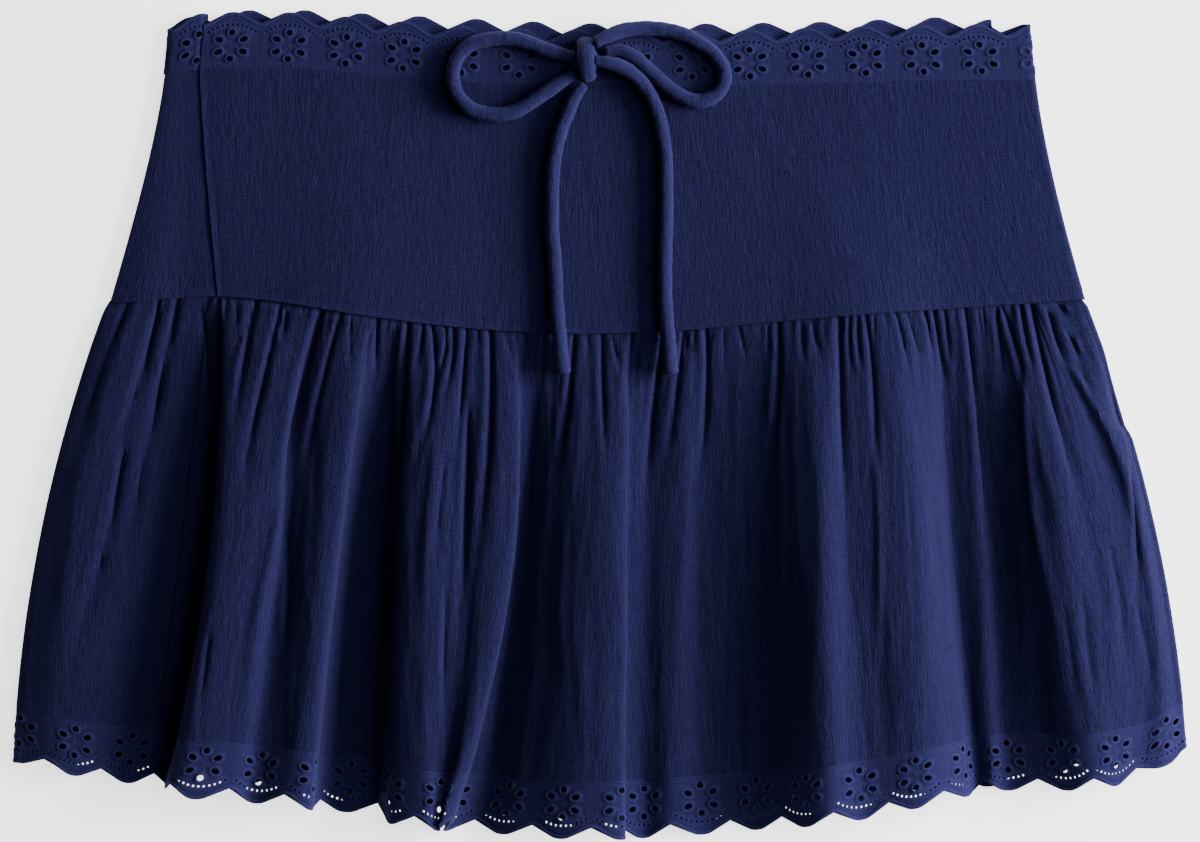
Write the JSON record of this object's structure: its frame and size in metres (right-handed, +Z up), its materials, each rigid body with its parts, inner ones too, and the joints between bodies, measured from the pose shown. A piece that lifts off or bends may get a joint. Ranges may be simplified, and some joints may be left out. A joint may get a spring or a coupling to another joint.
{
  "type": "mini skirt",
  "caption": "Mini skirt laid flat: smooth flared yoke, gathered lower tier, scalloped eyelet trim at waist and hem, and a thin drawstring tied in a bow.",
  "frame": {"origin": "on the surface that the skirt lies on, under the middle of its outline", "axes": "+X to the right as seen from the front, +Y up the garment towards the waist, +Z up from the surface"},
  "size_m": [0.5161, 0.3643, 0.0265],
  "materials": {
    "gauze": "navy cotton double gauze, matt, fine crinkle along the length",
    "trim": "navy cotton batiste with embroidered eyelets and a satin-stitched scalloped edge",
    "cord": "navy rouleau cord of the same gauze, soft and slightly fuzzy"
  },
  "bodies": {
    "root": {"front_yoke": "gauze", "back_yoke": "gauze", "front_tier": "gauze", "back_tier": "gauze", "waist_trim_front": "trim", "waist_trim_back": "trim", "hem_trim_front": "trim", "hem_trim_back": "trim", "cord_loop_left": "cord", "cord_loop_right": "cord", "cord_tail_left": "cord", "cord_tail_right": "cord", "cord_knot": "cord"}
  },
  "joints": []
}
